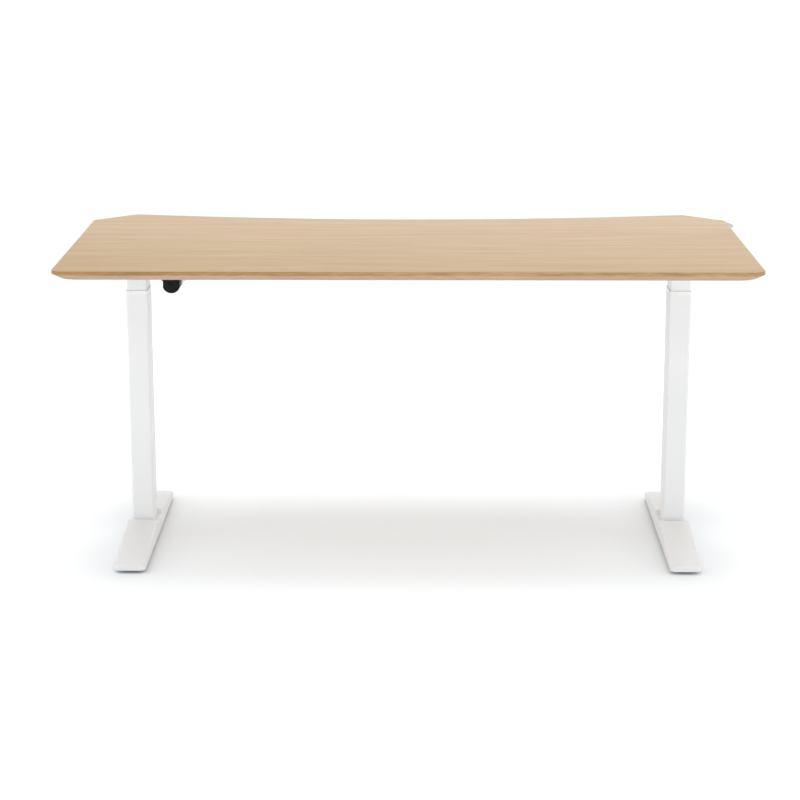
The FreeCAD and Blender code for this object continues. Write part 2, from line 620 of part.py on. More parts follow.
def motor_cap():
    # Round below, straight sided above, with a stepped round face and an ear at one corner.
    r = CAP_HALF
    depth = CAN_FRONT_Y - CAP_FRONT_Y
    round_part = rod(CAP_RADIUS, motor_start(CAP_FRONT_Y), Y_AXIS, depth)
    between = block(MOTOR_X - r, MOTOR_X + r, CAP_FRONT_Y, CAN_FRONT_Y, 0, CAP_TOP_Z)
    upper = block(MOTOR_X - r, MOTOR_X + r, CAP_FRONT_Y, CAN_FRONT_Y, MOTOR_Z, CAP_TOP_Z)
    ear_points = [(MOTOR_X - r + 1.0, CAP_TOP_Z), (MOTOR_X - r - 7.0, CAP_TOP_Z),
                  (MOTOR_X - r - 5.0, CAP_TOP_Z - 5.5), (MOTOR_X - r + 1.0, CAP_TOP_Z - 10.0)]
    ear = prism([V(x, CAP_FRONT_Y, z) for x, z in ear_points], V(0, depth, 0))
    cap = round_part.common(between).fuse(upper).fuse(ear).removeSplitter()
    rim = [e for e in cap.Edges if e.BoundBox.YMax < CAP_FRONT_Y + 0.01]
    cap = cap.makeFillet(1.2, rim)
    front = CAP_FRONT_Y
    for low_radius, high_radius, height in CAP_FACE:
        cap = cap.fuse(Part.makeCone(low_radius, high_radius, height, motor_start(front), -Y_AXIS))
        front -= height
    cap = cap.removeSplitter()
    step_y = CAP_FRONT_Y - CAP_FACE[0][2]
    groove = ring(11.2, 10.2, motor_start(step_y), Y_AXIS, 0.6)
    dimple = rod(2.4, motor_start(front), Y_AXIS, 1.4)
    hollow = rod(r - CAP_WALL, motor_start(CAP_FRONT_Y + 2.5), Y_AXIS, depth)
    return cap.cut(hollow).cut(groove).cut(dimple)


def motor_stator():
    return ring(CAN_RADIUS - CAN_WALL - 0.1, 16.0, motor_start(CAN_FRONT_Y + 10.0), Y_AXIS, 60.0)


def motor_rotor():
    # Rotor, shaft and worm turn together; the worm is drawn as its pitch cylinder.
    shaft = rod(ROTOR_SHAFT, motor_start(CAN_FRONT_Y - 8.0), Y_AXIS, 152.0)
    core = rod(15.0, motor_start(CAN_FRONT_Y + 12.0), Y_AXIS, 56.0)
    worm = rod(WORM_RADIUS, motor_start(COLUMN_Y - 20.0), Y_AXIS, 40.0)
    return shaft.fuse(core).fuse(worm).removeSplitter()


def motor_bearings():
    bore = ROTOR_SHAFT + RUNNING_GAP
    front = ring(8.0, bore, motor_start(CAN_FRONT_Y), Y_AXIS, 4.0)
    back = ring(8.0, bore, motor_start(CAN_BACK_Y), Y_AXIS, 5.0)
    far = ring(8.0, bore, motor_start(COLUMN_Y + 26.0), Y_AXIS, 5.0)
    return [front, back, far]


def worm_housing():
    half = 22.0
    y0, y1 = CAN_BACK_Y, COLUMN_Y + 34.0
    body = block(MOTOR_X - half, MOTOR_X + half, y0 + 4.0, y1, MOTOR_Z - 17.0, BOX_TOP_Z)
    edges = [e for e in body.Edges if e.BoundBox.YLength > 10.0 and e.BoundBox.ZMax < MOTOR_Z]
    body = body.makeFillet(6.0, edges)
    flange = rod(CAN_RADIUS, motor_start(y0), Y_AXIS, 4.0)
    body = body.fuse(flange).removeSplitter()
    body = body.cut(rod(8.0, motor_start(y0 - 1.0), Y_AXIS, 6.0))
    body = body.cut(rod(WORM_RADIUS + 1.2, motor_start(y0 + 5.0), Y_AXIS, COLUMN_Y + 26.0 - y0 - 5.0))
    body = body.cut(rod(8.0, motor_start(COLUMN_Y + 26.0), Y_AXIS, 5.0))
    wheel_room = rod(WHEEL_RADIUS + 1.5, V(MOTOR_X - 12.0, COLUMN_Y, SHAFT_Z), X_AXIS, 24.0)
    bearing_room = rod(BEARING_RADIUS, V(MOTOR_X - 18.0, COLUMN_Y, SHAFT_Z), X_AXIS, 36.0)
    passage = rod(7.5, V(MOTOR_X - half - 1.0, COLUMN_Y, SHAFT_Z), X_AXIS, 2 * half + 2.0)
    return body.cut(wheel_room).cut(bearing_room).cut(passage)


def motor_bracket():
    # A saddle of bent sheet: its top is screwed to the worktop, its legs hold the worm housing.
    half, top = 22.0, UNDERSIDE_Z
    y0, y1 = COLUMN_Y - 24.0, COLUMN_Y + 24.0
    plate = block(MOTOR_X - 50.0, MOTOR_X + 50.0, y0, y1, top - 2.5, top)
    bracket = plate
    for side in (-1, 1):
        inner = MOTOR_X + side * half
        outer = MOTOR_X + side * (half + 2.5)
        x0, x1 = min(inner, outer), max(inner, outer)
        leg = block(x0, x1, y0, y1, MOTOR_Z, top - 2.5)
        leg = leg.cut(rod(9.0, V(x0 - 1.0, COLUMN_Y, SHAFT_Z), X_AXIS, 4.5))
        bracket = bracket.fuse(leg)
    bracket = bracket.removeSplitter()
    for x, y in bracket_screw_places():
        bracket = bracket.cut(rod(2.1, V(x, y, top - 4.0), Z_AXIS, 6.0))
    for sy in (-1, 1):
        start = V(MOTOR_X - 30.0, COLUMN_Y + sy * 18.0, MOTOR_Z + 5.0)
        bracket = bracket.cut(rod(2.1, start, X_AXIS, 60.0))
    return bracket


def motor_bolts():
    # Side screws through the bracket's legs; they stop against the worm housing.
    bolts = []
    for side in (-1, 1):
        for sy in (-1, 1):
            x = MOTOR_X + side * 24.5
            start = V(x, COLUMN_Y + sy * 18.0, MOTOR_Z + 5.0)
            head = rod(4.0, start, V(side, 0, 0), 2.4)
            shank = rod(2.0, start, V(-side, 0, 0), 2.5)
            bolts.append(head.fuse(shank).removeSplitter())
    return bolts


# ---------------------------------------------------------------- control box

def control_span():
    x0, x1 = CONTROL_X - CONTROL_LENGTH / 2, CONTROL_X + CONTROL_LENGTH / 2
    y0, y1 = CONTROL_Y - CONTROL_DEPTH / 2, CONTROL_Y + CONTROL_DEPTH / 2
    top = UNDERSIDE_Z - LID
    return x0, x1, y0, y1, top - CONTROL_HEIGHT, top


def inlet_opening(grow):
    x0, _, y0, _, z0, _ = control_span()
    return block(x0 - 1.0, x0 + 24.0, y0 + 16.0 - grow, y0 + 46.0 + grow, z0 + 6.0 - grow,
                 z0 + 28.0 + grow)


def control_socket(index):
    _, x1, y0, _, z0, _ = control_span()
    y = y0 + 16.0 + index * 24.0
    return block(x1 - 14.0, x1 + 1.0, y, y + 16.0, z0 + 9.0, z0 + 23.0)


def control_tray():
    x0, x1, y0, y1, z0, z1 = control_span()
    w = CONTROL_WALL
    tray = block(x0, x1, y0, y1, z0, z1)
    edges = [e for e in tray.Edges if e.BoundBox.ZMin < z0 + 0.01]
    tray = tray.makeFillet(2.0, edges)
    tray = tray.cut(block(x0 + w, x1 - w, y0 + w, y1 - w, z0 + w, z1 + 1.0))
    tray = tray.cut(inlet_opening(0.0))
    for index in range(3):
        tray = tray.cut(control_socket(index))
    return tray


def control_lid():
    x0, x1, y0, y1, _, z1 = control_span()
    lid = rounded_block(CONTROL_X, CONTROL_Y, CONTROL_LENGTH + 28.0, CONTROL_DEPTH, 6.0, z1, z1 + LID)
    for x, y in control_screw_places():
        lid = lid.cut(rod(1.9, V(x, y, z1), Z_AXIS, LID))
    return lid


def power_inlet():
    # A recessed three-pin appliance inlet, its mouth at the box's left end.
    x0, _, y0, _, z0, _ = control_span()
    body = block(x0, x0 + 22.0, y0 + 16.0, y0 + 46.0, z0 + 6.0, z0 + 28.0)
    mouth = block(x0 - 1.0, x0 + 16.0, y0 + 19.0, y0 + 43.0, z0 + 9.0, z0 + 25.0)
    corner_edges = [e for e in mouth.Edges if e.BoundBox.XLength > 5.0 and e.BoundBox.ZMin > z0 + 20.0]
    mouth = mouth.makeChamfer(4.0, corner_edges)
    return body.cut(mouth)


def inlet_pins():
    x0, _, y0, _, z0, _ = control_span()
    pins = []
    for dy, dz in ((-7.0, -2.5), (0.0, 2.5), (7.0, -2.5)):
        y, z = y0 + 31.0 + dy, z0 + 17.0 + dz
        pins.append(block(x0 + 6.0, x0 + 16.0, y - 1.0, y + 1.0, z - 2.0, z + 2.0))
    return pins


def control_sockets():
    _, x1, y0, _, z0, _ = control_span()
    sockets = []
    for index in range(3):
        y = y0 + 16.0 + index * 24.0
        body = block(x1 - 14.0, x1, y, y + 16.0, z0 + 9.0, z0 + 23.0)
        mouth = block(x1 - 11.0, x1 + 1.0, y + 2.0, y + 14.0, z0 + 11.0, z0 + 21.0)
        key = block(x1 - 11.0, x1 + 1.0, y + 5.5, y + 10.5, z0 + 20.0, z0 + 22.2)
        sockets.append(body.cut(mouth).cut(key))
    return sockets


def control_board():
    x0, x1, y0, y1, z0, _ = control_span()
    board = block(x0 + 26.0, x1 - 18.0, y0 + 6.0, y1 - 6.0, z0 + 5.0, z0 + 6.6)
    for px in (x0 + 34.0, x1 - 26.0):
        for py in (y0 + 12.0, y1 - 12.0):
            board = board.fuse(rod(3.0, V(px, py, z0 + CONTROL_WALL), Z_AXIS, 3.0))
    parts = [board.removeSplitter()]
    top = z0 + 6.6
    parts.append(block(x0 + 48.0, x0 + 88.0, CONTROL_Y - 20.0, CONTROL_Y + 20.0, top, top + 22.0))
    for offset in (0.0, 24.0):
        parts.append(rod(9.0, V(x0 + 110.0 + offset, CONTROL_Y + 18.0, top), Z_AXIS, 23.0))
    parts.append(block(x0 + 104.0, x0 + 160.0, CONTROL_Y - 28.0, CONTROL_Y - 16.0, top, top + 20.0))
    parts.append(block(x0 + 176.0, x0 + 196.0, CONTROL_Y - 12.0, CONTROL_Y + 12.0, top, top + 4.0))
    return parts


# ---------------------------------------------------------------- handset

def handset_outline(inset):
    # Section square to the clipped edge. The sloping back follows the worktop's bevel.
    outline = [(-15.0, 695.0), (1.5, 711.5), FACE_TOP, FACE_LOW, (43.0, 701.2), (43.0, 698.6),
               (41.0, 696.6), (0.0, 678.0), (-15.0, 678.0)]
    wire = Part.makePolygon([V(x, 0, z) for x, z in outline + [outline[0]]])
    if inset:
        wire = wire.makeOffset2D(-inset)
    half = HANDSET_HALF - inset
    face = Part.Face(wire)
    face.translate(V(0, HANDSET_SHIFT - half, 0))
    return face.extrude(V(0, 2 * half, 0))


def face_slope():
    return math.degrees(math.atan2(FACE_TOP[1] - FACE_LOW[1], FACE_LOW[0] - FACE_TOP[0]))


def on_face(shape):
    # From the face's frame (x down the slope from its top edge, z out of it) to the handset's.
    placed = shape.copy()
    placed.rotate(V(0, 0, 0), Y_AXIS, face_slope())
    placed.translate(V(FACE_TOP[0], HANDSET_SHIFT, FACE_TOP[1]))
    return placed


def above_split():
    return block(-60.0, 60.0, -90.0, 90.0, HANDSET_SPLIT_Z, HANDSET_SPLIT_Z + 40.0)


def display_window():
    glass = block(3.5, 17.5, 5.0 - HANDSET_HALF, HANDSET_HALF - 5.0, -1.2, 0.0)
    upright = [e for e in glass.Edges if is_upright(e)]
    return glass.makeFillet(2.5, upright)


def button_y(index):
    return (index - (BUTTON_COUNT - 1) / 2) * BUTTON_PITCH


def square_key(index, size, z0, z1):
    key = block(BUTTON_ALONG - size / 2, BUTTON_ALONG + size / 2,
                button_y(index) - size / 2, button_y(index) + size / 2, z0, z1)
    upright = [e for e in key.Edges if is_upright(e)]
    return key.makeFillet(2.5, upright)


def handset_shell():
    outside = handset_outline(0)
    ends = [e for e in outside.Edges if e.BoundBox.YLength < 0.01 and e.BoundBox.ZMin > 696.0]
    outside = outside.makeFillet(1.5, [e for e in ends if e.BoundBox.XLength > 30.0])
    return outside.cut(handset_outline(HANDSET_WALL))


def handset_cover():
    cover = handset_shell().common(above_split())
    cover = cover.cut(on_face(display_window()))
    for index in range(BUTTON_COUNT):
        hole = square_key(index, BUTTON_SIZE + 2 * BUTTON_GAP, -4.0, 1.0)
        cover = cover.cut(on_face(hole))
    return place_handset(cover)


def handset_base():
    tray = handset_shell().cut(above_split())
    flange = block(-48.0, -15.0, HANDSET_SHIFT - 42.0, HANDSET_SHIFT + 42.0, 690.0, UNDERSIDE_Z)
    base = place_handset(tray.fuse(flange).removeSplitter())
    for x, y in handset_screw_places():
        base = base.cut(rod(2.1, V(x, y, 680.0), Z_AXIS, 30.0))
    return base


def handset_board():
    board = block(6.0, 32.0, 6.0 - HANDSET_HALF, HANDSET_HALF - 6.0, -8.0, -6.4)
    for index in range(BUTTON_COUNT):
        board = board.fuse(rod(3.0, V(BUTTON_ALONG, button_y(index), -6.4), Z_AXIS, 2.2))
    return place_handset(on_face(board.removeSplitter()))


def button(index):
    cap = square_key(index, BUTTON_SIZE, -2.3, BUTTON_PROUD)
    rim = [e for e in cap.Edges if e.BoundBox.ZMin > BUTTON_PROUD - 0.01]
    cap = cap.makeFillet(0.6, rim)
    flange = square_key(index, BUTTON_SIZE + 1.6, -3.2, -2.3)
    return place_handset(on_face(cap.fuse(flange).removeSplitter()))


# ---------------------------------------------------------------- assembly

def both(make):
    return [make(-1), make(1)]


def at_places(make, places):
    return [make(*place) for place in places]


def small_screw(x, y, z_head):
    return screw(x, y, z_head, UNDERSIDE_Z + 10.0, 1.8, 3.6, 2.2)


def all_nodes():
    nodes = {"desktop": [desktop()]}
    for name, side in SIDES.items():
        nodes["foot_" + name] = [foot(side)]
        nodes["column_outer_" + name] = [outer_tube(side)]
        nodes["column_inner_" + name] = [inner_tube(side)]
        nodes["side_arm_" + name] = [side_arm(side)]
        nodes["spindle_" + name] = [spindle(side)]
        nodes["spindle_gear_" + name] = [spindle_gear(side)]
    nodes["foot_plates"] = both(foot_plate)
    nodes["levelling_glides"] = at_places(levelling_glide, glide_places())
    nodes["glide_nuts"] = at_places(glide_nut, glide_places())
    nodes["column_base_plates"] = both(column_base_plate)
    nodes["foot_screws"] = [screw(side * COLUMN_X + sx, COLUMN_Y + sy, SADDLE_Z - FOOT_SHEET,
                                  SADDLE_Z + 7.0, 4.0, 6.5, 5.0)
                            for side in (-1, 1) for sx, sy in foot_screw_offsets()]
    nodes["column_collars"] = both(column_collar)
    nodes["inner_tube_glides"] = both(inner_glide)
    nodes["nut_tubes"] = both(nut_tube)
    nodes["spindle_nuts"] = both(spindle_nut)
    nodes["spindle_bearings"] = both(spindle_bearing)
    nodes["gearbox_housings"] = both(gearbox_housing)
    nodes["gearbox_covers"] = both(gearbox_cover)
    nodes["gearbox_bolts"] = at_places(gearbox_bolt, gearbox_bolt_places(-1) + gearbox_bolt_places(1))
    nodes["cross_shaft"] = [cross_shaft()]
    nodes["shaft_pinions"] = both(shaft_pinion)
    nodes["shaft_bearings"] = shaft_bearings()
    nodes["worm_wheel"] = [worm_wheel()]
    nodes["worm_housing"] = [worm_housing()]
    nodes["motor_rotor"] = [motor_rotor()]
    nodes["motor_stator"] = [motor_stator()]
    nodes["motor_bearings"] = motor_bearings()
    nodes["motor_can"] = [motor_can()]
    nodes["motor_cap"] = [motor_cap()]
    nodes["motor_bracket"] = [motor_bracket()]
    nodes["motor_bolts"] = motor_bolts()
    nodes["crossbeam"] = [crossbeam()]
    nodes["beam_bolts"] = [beam_bolt(side, y, z) for side in (-1, 1) for y, z in beam_bolt_places()]
    arm_places = arm_screw_places(-1) + arm_screw_places(1)
    nodes["desktop_pads"] = at_places(desktop_pad, arm_places)
    nodes["desktop_screws"] = [screw(x, y, UNDERSIDE_Z - PAD - ARM_SHEET, UNDERSIDE_Z + 12.0,
                                     2.5, 6.0, 3.5) for x, y in arm_places]
    nodes["control_box_tray"] = [control_tray()]
    nodes["control_box_lid"] = [control_lid()]
    nodes["control_board"] = control_board()
    nodes["power_inlet"] = [power_inlet()]
    nodes["inlet_pins"] = inlet_pins()
    nodes["control_sockets"] = control_sockets()
    nodes["small_screws"] = (
        [small_screw(x, y, UNDERSIDE_Z - LID) for x, y in control_screw_places()]
        + [small_screw(x, y, UNDERSIDE_Z - 2.5) for x, y in bracket_screw_places()]
        + [small_screw(x, y, 690.0) for x, y in handset_screw_places()])
    nodes["handset_cover"] = [handset_cover()]
    nodes["handset_base"] = [handset_base()]
    nodes["handset_display"] = [place_handset(on_face(display_window()))]
    nodes["handset_board"] = [handset_board()]
    names = ("up", "down", "memory_1", "memory_2", "memory_3", "store")
    for index, name in enumerate(names):
        nodes["button_" + name] = [button(index)]
    return nodes


def plan_centre(nodes):
    whole = FreeCAD.BoundBox()
    for solids in nodes.values():
        for solid in solids:
            whole.add(solid.BoundBox)
    return V(whole.Center.x, whole.Center.y, 0)


def main():
    os.makedirs("parts", exist_ok=True)
    nodes = all_nodes()
    shift = plan_centre(nodes).negative()
    print("shift", round(shift.x, 4), round(shift.y, 4))
    for name, solids in nodes.items():
        for solid in solids:
            if not solid.isValid() or len(solid.Solids) != 1:
                print("check", name, solid.isValid(), len(solid.Solids))
            solid.translate(shift)
        shape = solids[0] if len(solids) == 1 else Part.makeCompound(solids)
        shape.exportStep("parts/" + name + ".step")


main()
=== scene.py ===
import json
import math

import bmesh
import bpy
from mathutils import Matrix, Vector

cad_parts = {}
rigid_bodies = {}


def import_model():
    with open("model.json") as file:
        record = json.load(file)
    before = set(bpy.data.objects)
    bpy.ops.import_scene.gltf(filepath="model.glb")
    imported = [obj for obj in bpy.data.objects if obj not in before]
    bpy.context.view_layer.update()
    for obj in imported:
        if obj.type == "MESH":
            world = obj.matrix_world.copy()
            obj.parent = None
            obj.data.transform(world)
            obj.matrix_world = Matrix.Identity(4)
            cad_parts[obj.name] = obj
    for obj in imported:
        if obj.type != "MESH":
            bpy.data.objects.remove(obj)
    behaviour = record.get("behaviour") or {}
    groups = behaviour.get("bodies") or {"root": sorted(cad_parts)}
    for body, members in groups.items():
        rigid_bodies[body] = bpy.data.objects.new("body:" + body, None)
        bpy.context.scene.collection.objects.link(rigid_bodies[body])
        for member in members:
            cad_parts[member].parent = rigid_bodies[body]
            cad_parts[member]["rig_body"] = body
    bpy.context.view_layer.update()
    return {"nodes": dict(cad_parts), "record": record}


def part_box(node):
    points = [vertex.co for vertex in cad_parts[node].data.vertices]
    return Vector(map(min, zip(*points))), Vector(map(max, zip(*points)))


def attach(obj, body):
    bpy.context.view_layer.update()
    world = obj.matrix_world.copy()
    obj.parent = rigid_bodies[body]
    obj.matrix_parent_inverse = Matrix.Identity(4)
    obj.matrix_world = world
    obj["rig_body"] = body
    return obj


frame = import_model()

# Looks for the height adjustable desk. Metres, in the CAD frame: +X along the worktop,
# +Y towards the sitter, +Z up. Every CAD node keeps its shape and gets a procedural material.

NODES = frame["nodes"]
RECORD = frame["record"]

# Landmarks, measured from the frame: the lower line of the worktop's flat band, the motor's axis
BAND_HEIGHT = 0.0085
BAND_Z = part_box("desktop")[1].z - BAND_HEIGHT
CAN_LOW, CAN_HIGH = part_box("motor_can")
CAN_CENTRE = (CAN_LOW + CAN_HIGH) / 2
# Radii, in metres, between which the motor cap's colour turns; the inner pair paints shade into the centre
# dimple
RIM_EDGE = (0.0168, 0.0174)
DIMPLE_SHADE_EDGE = (0.0018, 0.0024)

# Oak and coating colours, linear. The warm and pale pairs are painted sheen: they multiply the wood, the
# veneer's pair from its near left corner to its far right and the band's from its left end to its right,
# the pale ends lighter and bluer as if catching a reflection.
OAK_LIGHT = (0.492, 0.332, 0.168)
OAK_DARK = (0.392, 0.254, 0.114)
OAK_PORE = (0.250, 0.150, 0.070)
OAK_FLECK = (0.560, 0.410, 0.250)
BAND_LIGHT = (0.425, 0.262, 0.108)
BAND_DARK = (0.300, 0.168, 0.058)
BEVEL_LIGHT = (0.490, 0.342, 0.233)
BEVEL_DARK = (0.396, 0.268, 0.176)
# Painted sheen on the veneer: multiplier at the near left corner, then at the far right
TOP_SHEEN_NEAR = (0.895, 0.836, 0.655)
TOP_SHEEN_FAR = (1.065, 1.105, 1.270)
# Painted sheen on the edge band: multiplier at the left end, then at the right end
BAND_SHEEN_LEFT = (0.890, 0.800, 0.660)
BAND_SHEEN_RIGHT = (1.070, 1.110, 1.200)
COAT_WHITE = (0.795, 0.797, 0.803)
COAT_SHADE = tuple(channel * 0.955 for channel in COAT_WHITE)
SHEEN_REACH = 0.76
HALF_LENGTH = 0.8
BAND_BLUR = 0.0006

# Camera, studio and floor
CAMERA_AT = Vector((0.0099, -5.2968, 1.6425))
CAMERA_YAW = 0.00805
CAMERA_DOWN = 0.24424
CAMERA_LENS = 100.27
SENSOR = 36.0
FLOOR_SIZE = 60.0
WORLD_STRENGTH = 0.82
# Sines of the heights between which the backdrop turns from full white to WORLD_STRENGTH
HORIZON_RISE = (0.12, 0.26)
# Name, strength, angle across and tilt in degrees
SUNS = [("overhead", 0.76, 28, 9), ("overhead_wide", 0.20, 80, 0)]
# Name, place, aim, width, depth, power in watts
PANELS = [("back", (0.0, 2.2, 1.35), (0.0, 0.0, 0.7), 3.0, 0.5, 12.0),
          ("front", (0.0, -0.95, 0.70), (0.0, 0.0, 0.66), 1.9, 0.25, 2.2)]
for side in (-1, 1):
    PANELS.append(("side_high", (side * 2.6, -0.25, 1.7), (side * 0.6, -0.1, 0.0), 1.2, 1.2, 2.6))
    PANELS.append(("side_low", (side * 2.6, -0.9, 0.8), (side * 0.6, -0.1, 0.0), 1.0, 0.6, 5.0))


# ---------------------------------------------------------------- shader writing

class Graph:
    """A material under construction. Its methods add a node and give back its output."""

    def __init__(self, name):
        self.material = bpy.data.materials.new(name)
        self.material.use_nodes = True
        self.tree = self.material.node_tree
        self.shader = self.tree.nodes["Principled BSDF"]

    def node(self, kind, **settings):
        made = self.tree.nodes.new(kind)
        for key, value in settings.items():
            setattr(made, key, value)
        return made

    def feed(self, socket, value):
        if isinstance(value, bpy.types.NodeSocket):
            self.tree.links.new(value, socket)
        elif value is not None:
            socket.default_value = value

    def coords(self):
        return self.node("ShaderNodeTexCoord").outputs["Object"]

    def normal_z(self):
        geometry = self.node("ShaderNodeNewGeometry")
        return self.split(geometry.outputs["True Normal"])[2]

    def split(self, vector):
        made = self.node("ShaderNodeSeparateXYZ")
        self.feed(made.inputs[0], vector)
        return made.outputs

    def join(self, x, y, z):
        made = self.node("ShaderNodeCombineXYZ")
        for socket, value in zip(made.inputs, (x, y, z)):
            self.feed(socket, value)
        return made.outputs[0]

    def stretch(self, vector, scale):
        made = self.node("ShaderNodeVectorMath", operation="MULTIPLY")
        self.feed(made.inputs[0], vector)
        made.inputs[1].default_value = scale
        return made.outputs[0]

    def math(self, operation, a, b=None):
        made = self.node("ShaderNodeMath", operation=operation)
        self.feed(made.inputs[0], a)
        self.feed(made.inputs[1], b)
        return made.outputs[0]

    def remap(self, value, low, high, to_low=0.0, to_high=1.0):
        made = self.node("ShaderNodeMapRange", clamp=True)
        self.feed(made.inputs["Value"], value)
        for key, number in (("From Min", low), ("From Max", high),
                            ("To Min", to_low), ("To Max", to_high)):
            made.inputs[key].default_value = number
        return made.outputs[0]

    def noise(self, vector, scale, detail=2.0, roughness=0.5):
        made = self.node("ShaderNodeTexNoise")
        self.feed(made.inputs["Vector"], vector)
        for key, number in (("Scale", scale), ("Detail", detail), ("Roughness", roughness)):
            made.inputs[key].default_value = number
        return made.outputs[0]

    def mix(self, factor, a, b, blend="MIX"):
        made = self.node("ShaderNodeMix", data_type="RGBA", blend_type=blend, clamp_factor=True)
        self.feed(made.inputs["Factor"], factor)
        self.feed(made.inputs["A"], rgba(a))
        self.feed(made.inputs["B"], rgba(b))
        return made.outputs["Result"]

    def bump(self, height, strength, distance):
        made = self.node("ShaderNodeBump")
        made.inputs["Strength"].default_value = strength
        made.inputs["Distance"].default_value = distance
        self.feed(made.inputs["Height"], height)
        return made.outputs[0]

    def weigh(self, *parts):
        """The sum of value * weight over the pairs given."""
        total = None
        for value, weight in parts:
            share = self.math("MULTIPLY", value, weight)
            total = share if total is None else self.math("ADD", total, share)
        return total

    def finish(self, **inputs):
        for key, value in inputs.items():
            name = key.replace("_", " ").title().replace("Ior", "IOR")
            self.feed(self.shader.inputs[name], rgba(value))
        return self.material


def rgba(value):
    return (*value, 1.0) if isinstance(value, tuple) and len(value) == 3 else value


def linear(red, green, blue):
    """A colour given as 0 to 255 screen values, as the shader wants it."""
    def one(channel):
        c = channel / 255
        return c / 12.92 if c <= 0.04045 else ((c + 0.055) / 1.055) ** 2.4
    return one(red), one(green), one(blue)


# ---------------------------------------------------------------- materials

def oak_figure(g, along, across, depth):
    """Straight-grained oak from coordinates in metres: slow tone, streaks, fibres and pores."""
    place = g.join(along, across, depth)
    wander = g.noise(g.stretch(place, (1.1, 3.0, 3.0)), 1.0, 2.0)
    bent = g.join(along, g.math("ADD", across, g.math("MULTIPLY", wander, 0.06)), depth)
    bands = g.noise(g.stretch(bent, (0.55, 22.0, 22.0)), 1.0, 2.0, 0.5)
    streaks = g.noise(g.stretch(bent, (3.4, 70.0, 70.0)), 1.0, 3.0, 0.62)
    fibre = g.noise(g.stretch(bent, (12.0, 300.0, 300.0)), 1.0, 4.0, 0.62)
    pores = g.noise(g.stretch(bent, (40.0, 1300.0, 1300.0)), 1.0, 2.0, 0.6)
    flecks = g.noise(g.stretch(bent, (70.0, 330.0, 330.0)), 1.0, 1.0, 0.5)
    return bands, streaks, fibre, g.remap(pores, 0.60, 0.72), g.remap(flecks, 0.66, 0.74)


def oak_face(g, x, y, figure):
    """The veneer's colour, with a painted sheen: warmer and darker at the near left corner, paler and
    bluer towards the far right.
    """
    bands, streaks, fibre, pores, flecks = figure
    tone = g.weigh((bands, 0.20), (streaks, 0.50), (fibre, 0.30))
    face = g.mix(g.remap(tone, 0.40, 0.60), OAK_DARK, OAK_LIGHT)
    # Painted sheen: the wood turns paler and bluer from the near left corner to the far right
    drift = g.remap(g.weigh((x, 0.45), (y, 1.0)), -SHEEN_REACH, SHEEN_REACH)
    face = g.mix(1.0, face, g.mix(drift, TOP_SHEEN_NEAR, TOP_SHEEN_FAR), "MULTIPLY")
    face = g.mix(g.math("MULTIPLY", pores, 0.42), face, OAK_PORE)
    return g.mix(g.math("MULTIPLY", flecks, 0.12), face, OAK_FLECK)


def oak_edge(g, x, y, z):
    """A darker band above and a lighter cut bevel below, the grain running along the edge."""
    run = g.math("ADD", x, y)
    _, streaks, fibre, pores, _ = oak_figure(g, run, z, g.math("MULTIPLY", run, 0.1))
    tone = g.weigh((streaks, 0.5), (fibre, 0.5))
    band = g.mix(g.remap(tone, 0.40, 0.60), BAND_DARK, BAND_LIGHT)
    # Painted sheen along the band: warmer at the left end, paler and bluer at the right
    along = g.remap(x, -HALF_LENGTH, HALF_LENGTH)
    band = g.mix(1.0, band, g.mix(along, BAND_SHEEN_LEFT, BAND_SHEEN_RIGHT), "MULTIPLY")
    bevel = g.mix(g.remap(tone, 0.36, 0.64), BEVEL_DARK, BEVEL_LIGHT)
    is_bevel = g.remap(z, BAND_Z - BAND_BLUR, BAND_Z, 1.0, 0.0)
    return g.mix(g.math("MULTIPLY", pores, 0.25), g.mix(is_bevel, band, bevel), OAK_PORE)


def oak(name):
    g = Graph(name)
    x, y, z = g.split(g.coords())[0:3]
    figure = oak_figure(g, x, y, g.math("MULTIPLY", z, 0.2))
    is_flat = g.remap(g.math("ABSOLUTE", g.normal_z()), 0.72, 0.95)
    colour = g.mix(is_flat, oak_edge(g, x, y, z), oak_face(g, x, y, figure))
    _, streaks, fibre, pores, _ = figure
    height = g.weigh((fibre, 1.0), (streaks, 0.5), (pores, -0.9))
    return g.finish(base_color=colour, roughness=g.remap(fibre, 0.3, 0.7, 0.46, 0.58),
                    normal=g.bump(height, 0.10, 0.0002), specular_ior_level=0.4)


def powder_coat(name):
    g = Graph(name)
    place = g.coords()
    peel = g.noise(place, 520.0, 3.0, 0.6)
    speck = g.noise(place, 2600.0, 1.0)
    drift = g.noise(place, 4.0, 2.0)
    tint = g.mix(g.remap(drift, 0.3, 0.7), COAT_SHADE, COAT_WHITE)
    height = g.weigh((peel, 1.0), (speck, 0.35))
    return g.finish(base_color=tint, roughness=g.remap(peel, 0.3, 0.7, 0.43, 0.53),
                    normal=g.bump(height, 0.22, 0.0002), specular_ior_level=0.5)


def moulded(name, colour, roughness=0.5, grain=1400.0, strength=0.3):
    g = Graph(name)
    place = g.coords()
    spark = g.noise(place, grain, 2.0, 0.7)
    drift = g.noise(place, 30.0, 2.0)
    tint = g.mix(g.remap(drift, 0.3, 0.7), tuple(c * 0.85 for c in colour), colour)
    rough = g.remap(spark, 0.3, 0.7, roughness - 0.08, roughness + 0.08)
    return g.finish(base_color=tint, roughness=rough, normal=g.bump(spark, strength, 0.00015))


def metal(name, colour, roughness=0.3, stretch=(40.0, 900.0, 900.0)):
    g = Graph(name)
    place = g.coords()
    lines = g.noise(g.stretch(place, stretch), 1.0, 3.0, 0.6)
    stain = g.noise(place, 45.0, 3.0, 0.6)
    tint = g.mix(g.remap(stain, 0.35, 0.7), tuple(c * 0.8 for c in colour), colour)
    rough = g.math("ADD", g.remap(lines, 0.3, 0.7, roughness - 0.08, roughness + 0.08),
                   g.remap(stain, 0.4, 0.7, 0.0, 0.08))
    return g.finish(base_color=tint, roughness=rough, metallic=1.0,
                    normal=g.bump(lines, 0.15, 0.0001))


